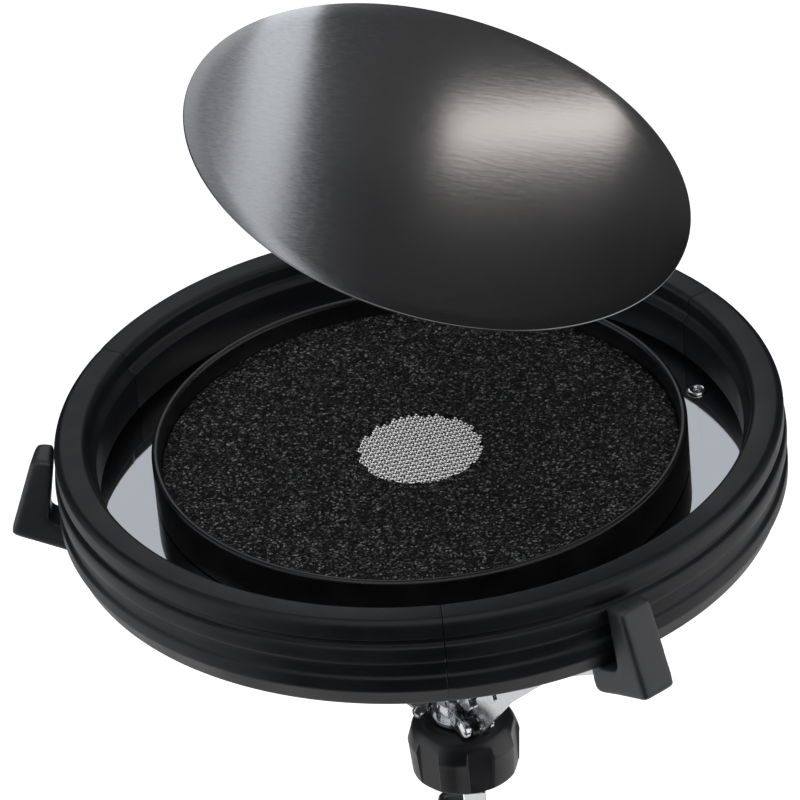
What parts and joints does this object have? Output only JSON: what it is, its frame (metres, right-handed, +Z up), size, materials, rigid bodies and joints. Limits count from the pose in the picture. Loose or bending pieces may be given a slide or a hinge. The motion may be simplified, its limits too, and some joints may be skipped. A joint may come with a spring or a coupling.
{
  "type": "practice pad",
  "caption": "Drum practice pad with a rubber hoop, mirror plate, foam and bead cup and lift-off striking disc, held in a clamping stand basket.",
  "frame": {"origin": "centre of the stand tube's lower end", "axes": "+Z up along the tube's axis; +Y away from the front of the pad, +X to its right"},
  "size_m": [0.3834, 0.3604, 0.5307],
  "materials": {
    "chrome_steel": "polished",
    "polished_steel": "polished, pressed",
    "threaded_steel": "turned thread",
    "dark_steel": "dark plated",
    "black_casting": "satin black",
    "black_plastic": "satin moulded",
    "brass_insert": "turned",
    "claw_rubber": "matte moulded",
    "hoop_rubber": "matte moulded",
    "mirror_plate": "mirror polished",
    "cup_plastic": "satin",
    "foam": "coarse open grain",
    "beads": "bright balls",
    "disc_laminate": "dark brushed"
  },
  "bodies": {
    "stand": {"stand_tube": "chrome_steel", "tube_plug": "black_plastic", "tilter_base": "black_casting", "tube_screw": "chrome_steel"},
    "head": {"tilter_ear": "chrome_steel", "spindle": "threaded_steel", "hub": "polished_steel", "link_pins": "chrome_steel", "cap_nut": "chrome_steel", "hub_cap": "claw_rubber", "lock_bolt": "chrome_steel"},
    "wing": {"lock_wing": "black_plastic"},
    "collar": {"collar": "polished_steel", "arm_pins": "chrome_steel", "pin_spacers": "black_plastic"},
    "knob": {"thrust_washer": "black_plastic", "grip_knob": "black_plastic", "knob_insert": "brass_insert"},
    "pad": {"hoop_right": "hoop_rubber", "hoop_rear": "hoop_rubber", "hoop_left": "hoop_rubber", "base_plate": "mirror_plate", "plate_eyelet": "chrome_steel", "cup_screws": "chrome_steel", "pad_cup": "cup_plastic", "foam_disc": "foam", "bead_mat": "beads"},
    "disc": {"striking_disc": "disc_laminate"},
    "arm_left": {"arm_left": "polished_steel", "claw_left": "claw_rubber", "claw_rivet_left": "chrome_steel", "link_stud_left": "chrome_steel"},
    "link_left": {"link_left": "dark_steel"},
    "arm_front": {"arm_front": "polished_steel", "claw_front": "claw_rubber", "claw_rivet_front": "chrome_steel", "link_stud_front": "chrome_steel"},
    "link_front": {"link_front": "dark_steel"},
    "arm_back": {"arm_back": "polished_steel", "claw_back": "claw_rubber", "claw_rivet_back": "chrome_steel", "link_stud_back": "chrome_steel"},
    "link_back": {"link_back": "dark_steel"}
  },
  "joints": [
    {"name": "tilt", "type": "hinge", "parent": "stand", "child": "head", "pos_m": [0, 0, 0.099], "axis": [1, 0, 0], "range_deg": [-30, 60]},
    {"name": "lock_turn", "type": "hinge", "parent": "head", "child": "wing", "pos_m": [-0.02, 0, 0.099], "axis": [1, 0, 0], "range_deg": [0, 90]},
    {"name": "collar_slide", "type": "slide", "parent": "head", "child": "collar", "axis": [0, 0, -1], "range_m": [0, 0.004]},
    {"name": "knob_turn", "type": "hinge", "parent": "collar", "child": "knob", "pos_m": [0, 0, 0.145], "axis": [0, 0, 1], "range_deg": [0, 720]},
    {"name": "pad_lift", "type": "slide", "parent": "head", "child": "pad", "axis": [0, 0, 1], "range_m": [0, 0.09]},
    {"name": "disc_lift", "type": "hinge", "parent": "pad", "child": "disc", "pos_m": [0.45994, -0.16763, 0.345], "axis": [0.3366, 0.9416, 0], "range_deg": [-19.07, 0]},
    {"name": "arm_swing_left", "type": "hinge", "parent": "collar", "child": "arm_left", "pos_m": [-0.01997, 0.00115, 0.1705], "axis": [-0.0576, -0.9983, 0], "range_deg": [0, 7.2]},
    {"name": "link_swing_left", "type": "hinge", "parent": "head", "child": "link_left", "pos_m": [-0.01897, 0.00109, 0.185], "axis": [-0.0576, -0.9983, 0], "range_deg": [0, 15.4]},
    {"name": "arm_swing_front", "type": "hinge", "parent": "collar", "child": "arm_front", "pos_m": [0.00899, -0.01787, 0.1705], "axis": [0.8934, 0.4493, 0], "range_deg": [0, 7.2]},
    {"name": "link_swing_front", "type": "hinge", "parent": "head", "child": "link_front", "pos_m": [0.00854, -0.01697, 0.185], "axis": [0.8934, 0.4493, 0], "range_deg": [0, 15.4]},
    {"name": "arm_swing_back", "type": "hinge", "parent": "collar", "child": "arm_back", "pos_m": [0.01098, 0.01672, 0.1705], "axis": [-0.8358, 0.549, 0], "range_deg": [0, 7.2]},
    {"name": "link_swing_back", "type": "hinge", "parent": "head", "child": "link_back", "pos_m": [0.01043, 0.01588, 0.185], "axis": [-0.8358, 0.549, 0], "range_deg": [0, 15.4]}
  ],
  "couplings": [
    {"joint": "knob_turn", "follows": "collar_slide", "rad_per_m": 3141.6},
    {"joint": "arm_swing_left", "follows": "collar_slide", "rad_per_m": 31.291},
    {"joint": "link_swing_left", "follows": "collar_slide", "rad_per_m": 66.893},
    {"joint": "arm_swing_front", "follows": "collar_slide", "rad_per_m": 31.291},
    {"joint": "link_swing_front", "follows": "collar_slide", "rad_per_m": 66.893},
    {"joint": "arm_swing_back", "follows": "collar_slide", "rad_per_m": 31.291},
    {"joint": "link_swing_back", "follows": "collar_slide", "rad_per_m": 66.893}
  ]
}
